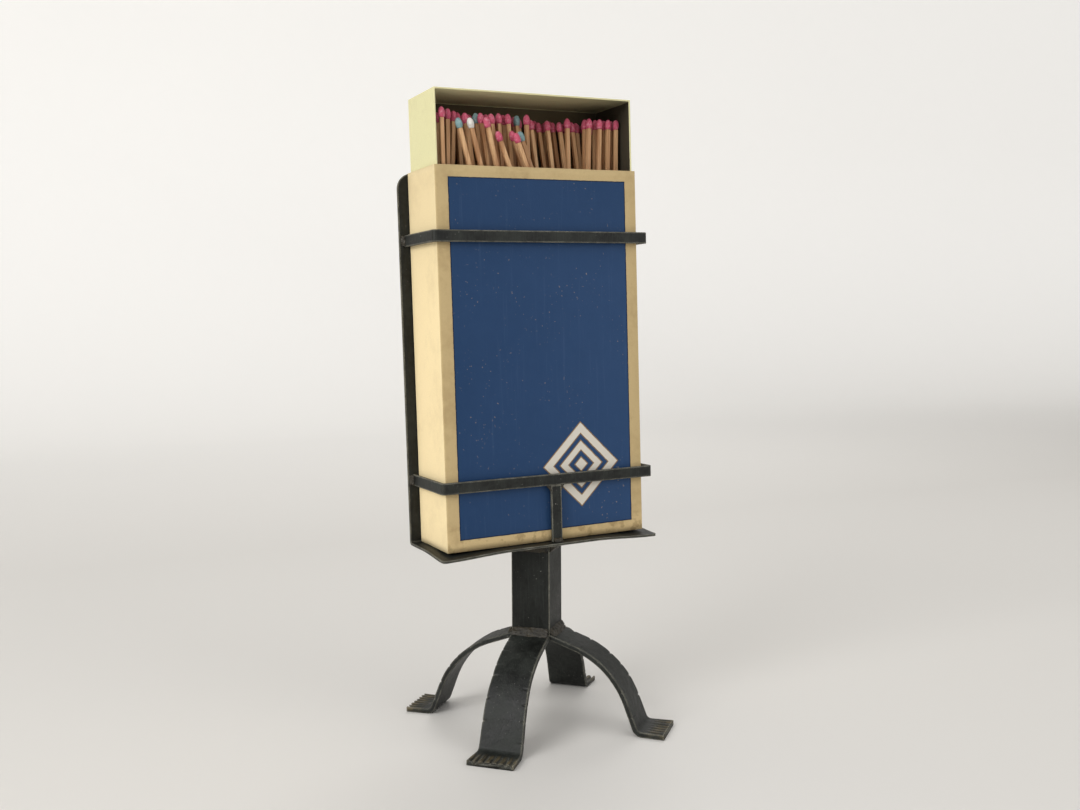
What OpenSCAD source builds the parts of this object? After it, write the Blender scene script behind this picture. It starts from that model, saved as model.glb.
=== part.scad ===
// Hand-made steel stand for a tall box of long matches.
// A square post on four bent legs carries a leaning cradle: a bent sheet, two bands and a stay.
// The box stands in the cradle, and its tray is pushed up so that the match heads show.
// Origin: on the table, under the middle of the post. The box faces -Y.

/* [Post and legs] */
// Side of the square post
post_side = 20; // [16:0.5:26]
// Height of a leg's top face where it meets the post
leg_top = 47; // [40:0.5:60]
// How much narrower a leg is than the post
leg_narrower = 0.2; // [0.1:0.1:3]
// Width of a leg at its hammered toe
toe_w = 23; // [20:0.5:28]
// Thickness of a leg
leg_t = 2.6; // [2:0.1:4]
// Slope of a leg where it leaves the post, in degrees
leg_slope = 19.5; // [12:0.5:28]
// Straight stretch of a leg next to the post
leg_run = 13.8; // [4:0.1:20]
// Radius of a leg's wide bend, on its top face
leg_bend_r = 45.8; // [20:0.1:55]
// Slope of a leg just above its foot, in degrees
leg_drop = 69; // [55:0.5:80]
// Radius of the bend above the foot, on the top face
foot_bend_r = 2.5; // [1.5:0.1:5]
// Length of the flat foot past its bend
foot_len = 11.3; // [6:0.1:20]

/* [Cradle] */
// Height of the shelf's top face above the table, at the cradle's middle
shelf_z = 93.4; // [75:0.1:140]
// Lean of the cradle to the left, in degrees
cradle_lean = 1.47; // [0:0.01:4]
// How far the cradle's middle is to the right of the post's middle
cradle_right = 2.3; // [-5:0.1:5]
// How far the cradle's middle is behind the post's middle
cradle_back = 8.3; // [2:0.1:12]
// Thickness of the bent sheet
sheet_t = 1.2; // [0.8:0.1:2]
// How far the sheet reaches past the box at each side
sheet_margin = 4.9; // [2:0.1:12]
// How far the sheet is shifted to the right of the box's middle
sheet_shift = -0.5; // [-1:0.1:1]
// Height of the back plate above the shelf
plate_h = 185; // [130:1:230]
// Radius of the back plate's top corners
plate_corner_r = 8; // [2:0.5:20]
// Inner radius of the bend between the shelf and the back plate
sheet_bend_r = 0.8; // [0.3:0.1:1]
// How far the shelf reaches past the front of the box
shelf_front = 7.2; // [6:0.1:20]

/* [Bands and stay] */
// Height of a band
band_h = 5.7; // [4:0.1:12]
// Thickness of a band, and of the stay below it
band_t = 1.5; // [1:0.1:3]
// Outer radius of a band's bends
band_bend_r = 2; // [1.8:0.1:6]
// Height of the upper band's middle above the shelf
upper_band_z = 151.2; // [100:0.1:175]
// Height of the lower band's middle above the shelf
lower_band_z = 31.4; // [15:0.1:60]
// How much the upper band drops to the right, in degrees
upper_band_tilt = 0.3; // [0:0.05:1]
// How much the lower band drops to the right, in degrees
lower_band_tilt = 0.55; // [0:0.05:1]
// Gap between a band and the front of the box
band_front_gap = 1.4; // [0.3:0.1:4]
// Gap between a band and the left side of the box
band_left_gap = 1.4; // [0.3:0.1:4]
// Gap between a band and the right side of the box
band_right_gap = 3.4; // [2.5:0.1:5]
// Width of the stay
stay_w = 5.6; // [3:0.1:12]
// How far the stay is to the right of the box's middle
stay_right = 3.2; // [-20:0.1:20]

/* [Welds] */
// Leg length of the beads between the legs and the post
leg_weld = 3; // [1:0.1:4]
// Leg length of the beads between the post and the shelf
post_weld = 2.5; // [1:0.1:3.5]
// Leg length of the beads at the ends of the bands
band_weld = 1.8; // [0.8:0.1:2]
// Leg length of the beads at the ends of the stay
stay_weld = 2; // [0.8:0.1:3]

/* [Matchbox] */
// Width of the box
box_w = 109.2; // [85:0.1:140]
// Depth of the box, front to back
box_d = 36.6; // [28:0.1:50]
// Height of the box
box_h = 184.5; // [140:0.5:230]
// Thickness of the sleeve's card
sleeve_wall = 0.8; // [0.5:0.1:1.2]
// Gap between the box and the shelf it stands on
seat_gap = 0.3; // [0.2:0.1:1]
// Gap between the box and the back plate
back_gap = 0.5; // [0.3:0.1:2]
// How far the tray stands out of the sleeve
tray_out = 35.7; // [5:0.1:120]
// Thickness of the tray's card
tray_wall = 0.8; // [0.5:0.1:1.2]
// Gap between the tray's sides and the sleeve
tray_side_gap = 0.5; // [0.3:0.1:1.5]
// Gap between the tray and the sleeve's front and back
tray_face_gap = 0.3; // [0.3:0.1:1]

/* [Matches] */
// Side of the square match sticks
stick_side = 1.9; // [1.6:0.1:2.4]
// Width of a match head
head_d = 3.4; // [2.8:0.1:3.6]
// Length of a match head
head_len = 5; // [3:0.1:7]
// Room between a match that stands upright and the end of the tray
match_headroom = 7.9; // [2:0.1:40]
// Smallest spacing of the rows of matches, front to back
row_pitch = 3.6; // [3.6:0.1:8]
// Spacing of the matches along a row, in the rows at the back
match_pitch = 9.4; // [8:0.1:20]
// How far a match in the back rows may stand out of its place, at head and foot
match_scatter = 2; // [0:0.1:2]
// Seed for the scatter of the back rows
scatter_seed = 7; // [1:1:99]

/* [Hidden] */
$fn = 48;

// Cuts that go right through, and prisms that are trimmed to a slanting face, run over by this
over = 1;
// Size of a block that cuts all that lies on one side of a plane
beyond = 400;
// Room between a match and the walls of the tray, and between its foot and the end wall
match_gap = 0.3;
foot_gap = 0.1;

// Legs
leg_w = post_side - leg_narrower;
leg_x = post_side / 2;
leg_lead = 4;
leg_turns = [-135, -45, 45, 135];
bend_steps = 12;
post_foot = leg_top - leg_t / cos(leg_slope);
leg_steep_z = leg_top - leg_run * sin(leg_slope) - leg_bend_r * (cos(leg_slope) - cos(leg_drop));
leg_steep = (leg_steep_z - leg_t - foot_bend_r * (1 - cos(leg_drop))) / sin(leg_drop);
leg_walk = [
    [leg_lead + leg_run, 0],
    [leg_bend_r, leg_slope - leg_drop],
    [leg_steep, 0],
    [foot_bend_r, leg_drop],
    [foot_len, 0],
];
leg_start = [leg_x - leg_lead * cos(leg_slope), leg_top + leg_lead * sin(leg_slope)];
leg_face = walked(leg_walk, leg_start, -leg_slope);
leg_reach = leg_face[len(leg_face) - 1][0][0];

// Cradle, measured from the middle of the shelf's top face
sheet_w = box_w + 2 * sheet_margin;
plate_y = box_d / 2 + back_gap;
shelf_edge_y = -box_d / 2 - shelf_front;
band_out_y = -box_d / 2 - band_front_gap - band_t;
band_left_x = -box_w / 2 - band_left_gap - band_t;
band_right_x = box_w / 2 + band_right_gap + band_t;
band_mid_x = (band_left_x + band_right_x) / 2;
band_w = band_right_x - band_left_x;

// Box and tray, measured from the middle of the bottom of the box
tray_w = box_w - 2 * sleeve_wall - 2 * tray_side_gap;
tray_d = box_d - 2 * sleeve_wall - 2 * tray_face_gap;
tray_floor = tray_out + tray_wall;
tray_inside = box_h - 2 * tray_wall;

// Matches, measured from the middle of the bottom of the box
match_len = tray_inside - match_headroom;
stick_len = match_len - head_len;
row_front_y = -tray_d / 2 + match_gap + head_d / 2;
row_back_y = tray_d / 2 - tray_wall - match_gap - head_d / 2;
row_count = 1 + floor((row_back_y - row_front_y) / row_pitch);
row_step = (row_back_y - row_front_y) / (row_count - 1);
half_run = tray_w / 2 - tray_wall - match_gap - head_d / 2;
back_count = floor(2 * half_run / match_pitch) + 1;
pink = 0;
teal = 1;
white = 2;

// The matches that show. Each is the place of its head, the place of its foot and its colour.
// A place is in percent of the way from the middle of the tray to its side.
front_places = [
    [[-97, -98, pink], [-80, 0, teal], [-68, 10, white], [-51, 21, pink], [-39, 77, pink], [-20, 98, pink]],
    [[-88, -97, pink], [-70, -22, pink], [-54, -12, pink], [-43, -1, pink], [-21, 89, pink], [-12, 98, teal]],
    [[-79, -98, pink], [-56, -24, teal], [-32, -15, pink], [-22, -5, pink], [-2, 4, pink], [68, 53, pink],
     [80, 65, pink], [90, 77, pink], [99, 88, pink]],
    [[-72, -57, pink], [-42, -20, pink], [-24, -10, pink], [-9, -1, teal], [47, 49, pink], [67, 61, pink],
     [79, 71, pink], [89, 81, pink], [98, 91, pink]],
    [[-90, -93, pink], [-77, -70, pink], [-57, -45, pink], [-34, -30, pink], [-9, -16, pink], [10, 49, pink],
     [28, 66, pink], [42, 86, pink], [56, 97, pink]],
    [[-84, -88, pink], [-61, -54, pink], [-46, -40, pink], [-22, -24, pink], [0, 10, pink], [22, 67, pink],
     [38, 78, pink], [65, 98, pink]],
];

// Points of an arc that starts at a point and a heading and turns; each point keeps its heading.
function arc_walk(p, heading, r, turn) = [
    for (i = [1 : bend_steps])
        let (side = sign(turn), h = heading + turn * i / bend_steps)
            [p + side * r * [sin(h) - sin(heading), cos(heading) - cos(h)], h]
];

// A walk along straight lines [length, 0] and bends [radius, turn], as points with headings
function walked(steps, p, heading, i = 0) =
    i == len(steps)
    ? [[p, heading]]
    : steps[i][1] == 0
    ? concat([[p, heading]], walked(steps, p + steps[i][0] * [cos(heading), sin(heading)], heading, i + 1))
    : let (bend = arc_walk(p, heading, steps[i][0], steps[i][1]), last = bend[len(bend) - 1])
        concat([[p, heading]], [for (b = bend) if (b != last) b], walked(steps, last[0], last[1], i + 1));

// The outline of a strip with a thickness below a walked face, without points that repeat
function strip_outline(face, t) = distinct(concat(
    [for (f = face) f[0]],
    [for (i = [len(face) - 1 : -1 : 0]) face[i][0] + t * [sin(face[i][1]), -cos(face[i][1])]]
));

function distinct(points) = [
    for (i = [0 : len(points) - 1]) if (i == 0 || norm(points[i] - points[i - 1]) > 0.01) points[i]
];

// Corner of an outline as an arc round a centre
function corner(centre, r, from, to, steps = 6) = [
    for (i = [0 : steps]) centre + r * [cos(from + (to - from) * i / steps), sin(from + (to - from) * i / steps)]
];

function row_y(row) = row_front_y + row * row_step;

// Matches of a row as [place of head, place of foot, colour] in millimetres
function row_matches(row) =
    row < len(front_places)
    ? [for (p = front_places[row]) [p[0] / 100 * half_run, p[1] / 100 * half_run, p[2]]]
    : let (scatter = rands(-match_scatter, match_scatter, 2 * back_count, scatter_seed + row))
        [for (i = [0 : back_count - 1])
            let (place = (2 * i / (back_count - 1) - 1) * (half_run - match_scatter))
                [place + scatter[2 * i], place + scatter[2 * i + 1], pink]];

function match_lean(m) = asin((m[0] - m[1]) / (match_len - head_len / 2));

// Places its children in the leaning cradle
module in_cradle() {
    translate([cradle_right, cradle_back, shelf_z])
        rotate([0, -cradle_lean, 0])
            children();
}

// Places its children in the box, whose bottom is a gap above the shelf
module in_box() {
    in_cradle()
        translate([0, 0, seat_gap])
            children();
}

// Everything above the shelf's underside
module above_shelf_underside() {
    in_cradle()
        translate([-beyond / 2, -beyond / 2, -sheet_t])
            cube([beyond, beyond, beyond]);
}

// Stands an outline of [reach, height] upright, with a width across it
module upright(width) {
    rotate([90, 0, 0])
        linear_extrude(width, center = true)
            children();
}

module post() {
    color("#3a3733")
        difference() {
            rotate([0, 0, 45])
                translate([-post_side / 2, -post_side / 2, post_foot])
                    cube([post_side, post_side, shelf_z - post_foot + 2 * post_side]);
            above_shelf_underside();
        }
}

// A leg: a strip bent from the post down to a flat foot, and wider at its toe
module leg(turn) {
    flare_x = leg_x + (leg_reach - leg_x) / 2;
    color("#2b2927")
        rotate([0, 0, turn])
            intersection() {
                upright(toe_w + over)
                    polygon(strip_outline(leg_face, leg_t));
                translate([0, 0, -over])
                    linear_extrude(leg_top + 2 * over)
                        polygon([
                            [leg_x, -leg_w / 2],
                            [flare_x, -leg_w / 2],
                            [leg_reach + over, -toe_w / 2],
                            [leg_reach + over, toe_w / 2],
                            [flare_x, leg_w / 2],
                            [leg_x, leg_w / 2],
                        ]);
            }
}

// A bead of weld along a corner, with its cut face slightly crowned
module bead(size, length, down = 0) {
    crown = 0.62 * size;
    upright(length)
        polygon([
            [0, 0],
            [size * cos(down), -size * sin(down)],
            [crown * cos(down), crown * (1 - sin(down))],
            [0, size],
        ]);
}

module leg_welds() {
    color("#6b5f43")
        for (turn = leg_turns)
            rotate([0, 0, turn])
                translate([leg_x, 0, leg_top])
                    bead(leg_weld, leg_w - over, leg_slope);
}

// Beads round the top of the post, under the shelf
module post_welds() {
    color("#4a443b")
        difference() {
            for (turn = leg_turns)
                rotate([0, 0, turn])
                    translate([post_side / 2, 0, shelf_z - post_weld])
                        upright(post_side - over)
                            polygon([
                                [0, -post_weld],
                                [post_weld, 0],
                                [post_weld, 2 * post_weld],
                                [0, 2 * post_weld],
                            ]);
            above_shelf_underside();
        }
}

// Shelf and back plate, bent from one sheet
module cradle_sheet() {
    bend_c = [plate_y - sheet_bend_r, sheet_bend_r];
    left = sheet_shift - sheet_w / 2;
    right = sheet_shift + sheet_w / 2;
    color("#4b4945")
        in_cradle()
            intersection() {
                translate([left, 0, 0])
                    rotate([90, 0, 90])
                        linear_extrude(sheet_w)
                            polygon(concat(
                                [[shelf_edge_y, 0]],
                                corner(bend_c, sheet_bend_r, -90, 0),
                                [[plate_y, plate_h], [plate_y + sheet_t, plate_h]],
                                corner(bend_c, sheet_bend_r + sheet_t, 0, -90),
                                [[shelf_edge_y, -sheet_t]]
                            ));
                translate([0, (shelf_edge_y + plate_y) / 2, 0])
                    upright(2 * box_d + 2 * shelf_front)
                        polygon(concat(
                            [[left - over, -sheet_t - over], [right + over, -sheet_t - over]],
                            [[right + over, over], [right, over]],
                            corner([right - plate_corner_r, plate_h - plate_corner_r], plate_corner_r, 0, 90),
                            corner([left + plate_corner_r, plate_h - plate_corner_r], plate_corner_r, 90, 180),
                            [[left, over], [left - over, over]]
                        ));
            }
}

// Places its children in the frame of a band: its middle, and its slope to the right
module at_band(z, tilt) {
    in_cradle()
        translate([band_mid_x, 0, z])
            rotate([0, tilt, 0])
                children();
}

// A band: a strip bent round the front and sides, whose ends meet the back plate
module band(z, tilt) {
    side = band_w / 2;
    inner_r = band_bend_r - band_t;
    bend_y = band_out_y + band_bend_r;
    color("#3d3b38")
        at_band(z, tilt)
            linear_extrude(band_h, center = true)
                polygon(concat(
                    [[-side, plate_y]],
                    corner([-side + band_bend_r, bend_y], band_bend_r, 180, 270),
                    corner([side - band_bend_r, bend_y], band_bend_r, 270, 360),
                    [[side, plate_y], [side - band_t, plate_y]],
                    corner([side - band_bend_r, bend_y], inner_r, 360, 270),
                    corner([-side + band_bend_r, bend_y], inner_r, 270, 180),
                    [[-side + band_t, plate_y]]
                ));
}

// Beads where the bands meet the back plate: outside on the left, inside on the right
module band_welds() {
    color("#4a443b")
        for (b = [[upper_band_z, upper_band_tilt], [lower_band_z, lower_band_tilt]])
            at_band(b[0], b[1])
                for (x = [-band_w / 2, band_w / 2 - band_t])
                    translate([x, plate_y, 0])
                        linear_extrude(band_h - over, center = true)
                            polygon([[0, 0], [-band_weld, 0], [0, -band_weld]]);
}

// Everything from the lower band's underside up
module above_lower_band() {
    at_band(lower_band_z, lower_band_tilt)
        translate([-beyond / 2, -beyond / 2, -band_h / 2])
            cube([beyond, beyond, beyond]);
}

// Upright strip between the shelf and the lower band
module stay() {
    color("#46433f")
        difference() {
            in_cradle()
                translate([stay_right - stay_w / 2, band_out_y, 0])
                    cube([stay_w, band_t, lower_band_z]);
            above_lower_band();
        }
}

// Beads at the foot of the stay and at both sides of its top
module stay_welds() {
    side = stay_w / 2;
    top = lower_band_z - band_h / 2 - stay_weld;
    color("#6b5f43") {
        in_cradle()
            translate([stay_right, band_out_y, 0])
                rotate([0, 0, -90])
                    bead(stay_weld, stay_w - over);
        difference() {
            in_cradle()
                translate([stay_right, band_out_y + band_t / 2, top])
                    upright(band_t)
                        for (s = [-1, 1])
                            polygon([
                                [s * side, -stay_weld / 2],
                                [s * (side + stay_weld), stay_weld],
                                [s * (side + stay_weld), 2 * stay_weld],
                                [s * side, 2 * stay_weld],
                            ]);
            above_lower_band();
        }
    }
}

// Card sleeve of the box, open at both ends
module sleeve() {
    color("#e6dcc4")
        in_box()
            difference() {
                translate([-box_w / 2, -box_d / 2, 0])
                    cube([box_w, box_d, box_h]);
                translate([-box_w / 2 + sleeve_wall, -box_d / 2 + sleeve_wall, -over])
                    cube([box_w - 2 * sleeve_wall, box_d - 2 * sleeve_wall, box_h + 2 * over]);
            }
}

// Card tray, open to the front, with an end wall above and below the matches
module tray() {
    color("#cfc89a")
        in_box()
            difference() {
                translate([-tray_w / 2, -tray_d / 2, tray_out])
                    cube([tray_w, tray_d, box_h]);
                translate([-tray_w / 2 + tray_wall, -tray_d / 2 - over, tray_floor])
                    cube([tray_w - 2 * tray_wall, tray_d - tray_wall + over, tray_inside]);
            }
}

// Places its children on the foot of a match, with +Z along the match
module at_match(m, row) {
    lean = match_lean(m);
    translate([m[1], row_y(row), tray_floor + foot_gap + abs(sin(lean)) * stick_side / 2])
        rotate([0, lean, 0])
            children();
}

module sticks(first, last) {
    color("#d9b98a")
        in_box()
            for (row = [first : min(last, row_count - 1)])
                for (m = row_matches(row))
                    at_match(m, row)
                        translate([-stick_side / 2, -stick_side / 2, 0])
                            cube([stick_side, stick_side, stick_len]);
}

// Heads of one colour: drops of dried mixture on the ends of the sticks
module heads(first, last, kind) {
    base_angle = 45;
    half_len = head_len / (1 + sin(base_angle));
    steps = 8;
    in_box()
        for (row = [first : min(last, row_count - 1)])
            for (m = row_matches(row))
                if (m[2] == kind)
                    at_match(m, row)
                        translate([0, 0, stick_len])
                            rotate_extrude()
                                polygon(concat([[0, 0]], [
                                    for (i = [0 : steps])
                                        let (a = -base_angle + (90 + base_angle) * i / steps)
                                            [i == steps ? 0 : head_d / 2 * cos(a), head_len - half_len * (1 - sin(a))]
                                ]));
}

post();
leg(leg_turns[0]);  // leg_front_left
leg(leg_turns[1]);  // leg_front_right
leg(leg_turns[2]);  // leg_back_right
leg(leg_turns[3]);  // leg_back_left
leg_welds();
post_welds();
cradle_sheet();
band(upper_band_z, upper_band_tilt);  // upper_band
band(lower_band_z, lower_band_tilt);  // lower_band
band_welds();
stay();
stay_welds();
sleeve();
tray();
sticks(0, 2);  // front_match_sticks
sticks(3, 5);  // middle_match_sticks
sticks(6, row_count - 1);  // back_match_sticks
color("#e58f9c") heads(0, 2, pink);  // front_pink_heads
color("#e58f9c") heads(3, 5, pink);  // middle_pink_heads
color("#e58f9c") heads(6, row_count - 1, pink);  // back_pink_heads
color("#3f9c93") heads(0, row_count - 1, teal);  // teal_heads
color("#eeeae0") heads(0, row_count - 1, white);  // white_head
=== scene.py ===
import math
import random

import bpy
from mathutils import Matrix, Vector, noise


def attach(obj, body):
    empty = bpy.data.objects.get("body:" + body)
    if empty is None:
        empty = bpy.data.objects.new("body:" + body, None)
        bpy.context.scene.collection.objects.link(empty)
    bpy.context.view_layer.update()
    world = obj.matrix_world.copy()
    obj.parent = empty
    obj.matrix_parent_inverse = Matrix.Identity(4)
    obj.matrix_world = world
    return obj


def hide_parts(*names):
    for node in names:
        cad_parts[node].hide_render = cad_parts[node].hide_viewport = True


bl_info = {
    "name": "Matchbox holder",
    "version": (1, 0, 0),
    "blender": (4, 5, 0),
    "location": "3D View > Sidebar > Holder",
    "description": "A welded steel stand that holds a tall box of long matches",
    "category": "Object",
}

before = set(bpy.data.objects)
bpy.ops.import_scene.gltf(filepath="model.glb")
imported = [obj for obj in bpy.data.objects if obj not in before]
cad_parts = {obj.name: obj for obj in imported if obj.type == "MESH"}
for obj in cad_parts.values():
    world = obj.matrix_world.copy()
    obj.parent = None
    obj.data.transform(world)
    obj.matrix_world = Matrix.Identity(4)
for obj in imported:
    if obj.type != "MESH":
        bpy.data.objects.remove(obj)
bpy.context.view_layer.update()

MM = 0.001
# How near to a face of the card a point counts as lying on it
CARD_SKIN = 0.3 * MM
# Half width of a chisel cut, and how far from its middle a cut still shows
CUT_WIDTH = 0.45 * MM
CUT_REACH = 1.4 * MM
# Half width of a groove in a toe, as a share of the leg's width
GROOVE_WIDTH = 0.027
STEEL_NODES = ("post", "upper_band", "lower_band", "stay")
WELD_NODES = ("leg_welds", "post_welds", "band_welds", "stay_welds")
STICK_NODES = ("front_match_sticks", "middle_match_sticks", "back_match_sticks")
PINK_NODES = ("front_pink_heads", "middle_pink_heads", "back_pink_heads")
LEG_TURNS = {
    "leg_front_left": -135.0,
    "leg_front_right": -45.0,
    "leg_back_right": 45.0,
    "leg_back_left": 135.0,
}


def srgb(red, green, blue):
    """A colour given as it looks on a screen, 0 to 255, as the linear values that shaders take."""
    def linear(c):
        c = c / 255.0
        return c / 12.92 if c <= 0.04045 else ((c + 0.055) / 1.055) ** 2.4
    return (linear(red), linear(green), linear(blue))


def smooth(x, low, high):
    """0 below low, 1 above high and a smooth ramp between them."""
    t = min(max((x - low) / (high - low), 0.0), 1.0)
    return t * t * (3.0 - 2.0 * t)


def length_property(name, text, millimetres):
    return bpy.props.FloatProperty(
        name=name, description=text, default=millimetres * MM, unit="LENGTH", precision=5)


def angle_property(name, text, degrees):
    return bpy.props.FloatProperty(
        name=name, description=text, default=math.radians(degrees), subtype="ANGLE")


def colour_property(name, text, colour):
    return bpy.props.FloatVectorProperty(
        name=name, description=text, default=colour, size=3, subtype="COLOR", min=0.0, max=1.0)


class StandSettings(bpy.types.PropertyGroup):
    """Sizes and colours of the steel stand."""
    post_side: length_property("Post side", "Side of the square post", 20.0)
    leg_top: length_property("Leg top", "Height of a leg's top face at the post", 47.0)
    leg_width: length_property("Leg width", "Width of a leg at the post", 19.8)
    toe_width: length_property("Toe width", "Width of a leg at its toe", 23.0)
    leg_thickness: length_property("Leg thickness", "Thickness of a leg", 2.6)
    leg_slope: angle_property("Leg slope", "Slope of a leg at the post", 19.5)
    leg_run: length_property("Leg run", "Straight stretch next to the post", 13.8)
    leg_bend: length_property("Leg bend", "Radius of the wide bend", 45.8)
    leg_drop: angle_property("Leg drop", "Slope of a leg above its foot", 69.0)
    foot_bend: length_property("Foot bend", "Radius of the bend above the foot", 2.5)
    foot_length: length_property("Foot length", "Length of the flat foot", 11.3)
    arris: length_property("Arris", "Rounding of the steel's long edges", 0.35)
    groove_depth: length_property("Groove depth", "Depth of the hammered grooves in a toe", 1.15)
    dent_depth: length_property("Dent depth", "Depth of the chisel dents along a leg", 0.55)
    dark: colour_property("Dark steel", "Blackened steel in the hollows", srgb(13, 14, 12))
    light: colour_property("Light steel", "Blackened steel where it is rubbed", srgb(42, 45, 41))
    # Pale steel at the arrises: partly rubbed bare steel, partly a painted highlight along the edges.
    bare_and_highlight: colour_property("Bare steel", "Steel at worn arrises", srgb(154, 151, 136))
    tint: colour_property("Heat tint", "Bronze tint on the welds and toes", srgb(96, 84, 58))


class CradleSettings(bpy.types.PropertyGroup):
    """Sizes of the leaning cradle and its sheet."""
    middle: bpy.props.FloatVectorProperty(
        name="Middle", description="Middle of the shelf's top face", size=3, subtype="TRANSLATION",
        unit="LENGTH", default=(2.3 * MM, 8.3 * MM, 93.4 * MM), precision=5)
    lean: angle_property("Lean", "Lean of the cradle to the left", 1.47)
    sheet_left: length_property("Sheet left", "Left edge of the sheet", -60.0)
    sheet_right: length_property("Sheet right", "Right edge of the sheet", 59.0)
    shelf_edge: length_property("Shelf edge", "Front edge of the shelf", -25.5)
    plate_face: length_property("Plate face", "Front face of the back plate", 18.8)
    plate_height: length_property("Plate height", "Height of the back plate", 185.0)
    plate_corner: length_property("Plate corner", "Radius of the plate's top corners", 8.0)
    sheet_thickness: length_property("Sheet thickness", "Thickness of the sheet", 1.2)
    sheet_bend: length_property("Sheet bend", "Inner radius of the sheet's bend", 0.8)
    droop: length_property("Droop", "How far the shelf's front corners hang down", 1.5)


class BoxSettings(bpy.types.PropertyGroup):
    """Sizes and colours of the matchbox."""
    width: length_property("Width", "Width of the box", 109.2)
    depth: length_property("Depth", "Depth of the box", 36.6)
    height: length_property("Height", "Height of the sleeve", 184.5)
    card: length_property("Card", "Thickness of the sleeve's card", 0.8)
    seat_gap: length_property("Seat gap", "Gap between the box and the shelf", 0.3)
    fold_radius: length_property("Fold radius", "Outer radius of the card's folds", 0.5)
    print_side: length_property("Print side", "Distance of the print from the box's middle", 48.2)
    print_foot: length_property("Print foot", "Lower edge of the print", 5.5)
    print_head: length_property("Print head", "Upper edge of the print", 179.0)
    motif_x: length_property("Motif place", "Middle of the motif, to the right", 19.2)
    motif_z: length_property("Motif height", "Middle of the motif, up the box", 37.2)
    motif_half: length_property("Motif size", "Half the size of the motif", 21.0)
    cream: colour_property("Cream card", "Card at the sides", srgb(246, 225, 178))
    kraft: colour_property("Border card", "Card at the border of the front", srgb(196, 173, 128))
    blue: colour_property("Blue print", "Print on the front", srgb(28, 58, 95))
    motif: colour_property("Motif print", "Pale print of the motif", srgb(214, 208, 196))
    soil: colour_property("Soil", "Brown marks on the card", srgb(140, 112, 72))
    tray: colour_property("Tray card", "Card of the tray", srgb(224, 219, 171))
    # Painted shade: the inside of the tray gets this darker card colour for the shade that falls in it.
    tray_inside_shade: colour_property("Tray inside", "Darkened card inside the tray", srgb(128, 114, 80))
    tray_out: length_property("Tray out", "How far the tray stands out of the sleeve", 35.7)
    tray_width: length_property("Tray width", "Width of the tray", 106.6)
    tray_depth: length_property("Tray depth", "Depth of the tray", 34.4)


class MatchSettings(bpy.types.PropertyGroup):
    """Colours of the matches."""
    wood: colour_property("Wood", "Splints of the matches", srgb(226, 184, 136))
    wood_dark: colour_property("Dark wood", "Dark grain in the splints", srgb(150, 98, 58))
    pink: colour_property("Pink heads", "Mixture of most heads", srgb(204, 82, 112))
    teal: colour_property("Teal heads", "Mixture of a few heads", srgb(130, 164, 166))
    white: colour_property("White head", "Mixture of one head", srgb(232, 228, 220))


class StageSettings(bpy.types.PropertyGroup):
    """The camera, the floor and the lights."""
    camera_place: bpy.props.FloatVectorProperty(
        name="Camera place", description="Where the camera stands", size=3, subtype="TRANSLATION",
        unit="LENGTH", default=(-0.2493, -0.5027, 0.2008), precision=5)
    camera_turn: angle_property("Camera turn", "How far the camera is turned to the right", 26.594)
    camera_drop: angle_property("Camera drop", "How far the camera looks down", 4.018)
    camera_roll: angle_property("Camera roll", "Roll of the camera", -0.3)
    camera_lens: bpy.props.FloatProperty(
        name="Lens", description="Focal length for a 36 mm wide frame", default=37.21)
    floor: colour_property("Floor", "Plain pale floor and backdrop", srgb(226, 223, 218))


SETTINGS = {
    "holder_stand": StandSettings,
    "holder_cradle": CradleSettings,
    "holder_box": BoxSettings,
    "holder_matches": MatchSettings,
    "holder_stage": StageSettings,
}


class Graph:
    """A node tree and the few kinds of step that the finishes are made of."""

    def __init__(self, tree):
        self.tree = tree

    def add(self, kind, values=None, **settings):
        node = self.tree.nodes.new(kind)
        for key, value in settings.items():
            setattr(node, key, value)
        for key, value in (values or {}).items():
            self.put(node.inputs[key], value)
        return node

    def put(self, socket, value):
        if isinstance(value, bpy.types.NodeSocket):
            self.tree.links.new(value, socket)
        else:
            socket.default_value = value

    def math(self, operation, first, second=0.0, clamp=False):
        node = self.add("ShaderNodeMath", {0: first, 1: second}, operation=operation, use_clamp=clamp)
        return node.outputs[0]

    def product(self, *factors):
        result = factors[0]
        for factor in factors[1:]:
            result = self.math("MULTIPLY", result, factor)
        return result

    def mix(self, mask, first, second):
        node = self.add("ShaderNodeMix", data_type="RGBA")
        self.put(node.inputs[0], mask)
        self.put(node.inputs[6], colour4(first))
        self.put(node.inputs[7], colour4(second))
        return node.outputs[2]

    def remap(self, value, low, high, to_low=0.0, to_high=1.0):
        node = self.add("ShaderNodeMapRange", {
            "Value": value, "From Min": low, "From Max": high, "To Min": to_low, "To Max": to_high})
        return node.outputs["Result"]

    def noise(self, place, scale, detail=3.0, roughness=0.55):
        node = self.add("ShaderNodeTexNoise", {
            "Vector": place, "Scale": scale, "Detail": detail, "Roughness": roughness})
        return node.outputs["Fac"]

    def stretch(self, place, scale):
        node = self.add("ShaderNodeVectorMath", {0: place, 1: scale}, operation="MULTIPLY")
        return node.outputs[0]

    def place(self):
        return self.add("ShaderNodeTexCoord").outputs["Object"]

    def group(self, tree, values):
        node = self.add("ShaderNodeGroup", node_tree=tree)
        for key, value in values.items():
            self.put(node.inputs[key], value)
        return node.outputs[0]

    def inside(self, value, low, high):
        """1 where a value is between two limits."""
        node = self.add("ShaderNodeMath", {0: value, 1: (low + high) / 2, 2: (high - low) / 2},
                        operation="COMPARE")
        return node.outputs[0]

    def bump(self, height, distance, strength=1.0, normal=None):
        values = {"Height": height, "Distance": distance, "Strength": strength}
        if normal is not None:
            values["Normal"] = normal
        return self.add("ShaderNodeBump", values).outputs["Normal"]


def colour4(value):
    return value if isinstance(value, bpy.types.NodeSocket) else (*tuple(value)[:3], 1.0)


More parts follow.
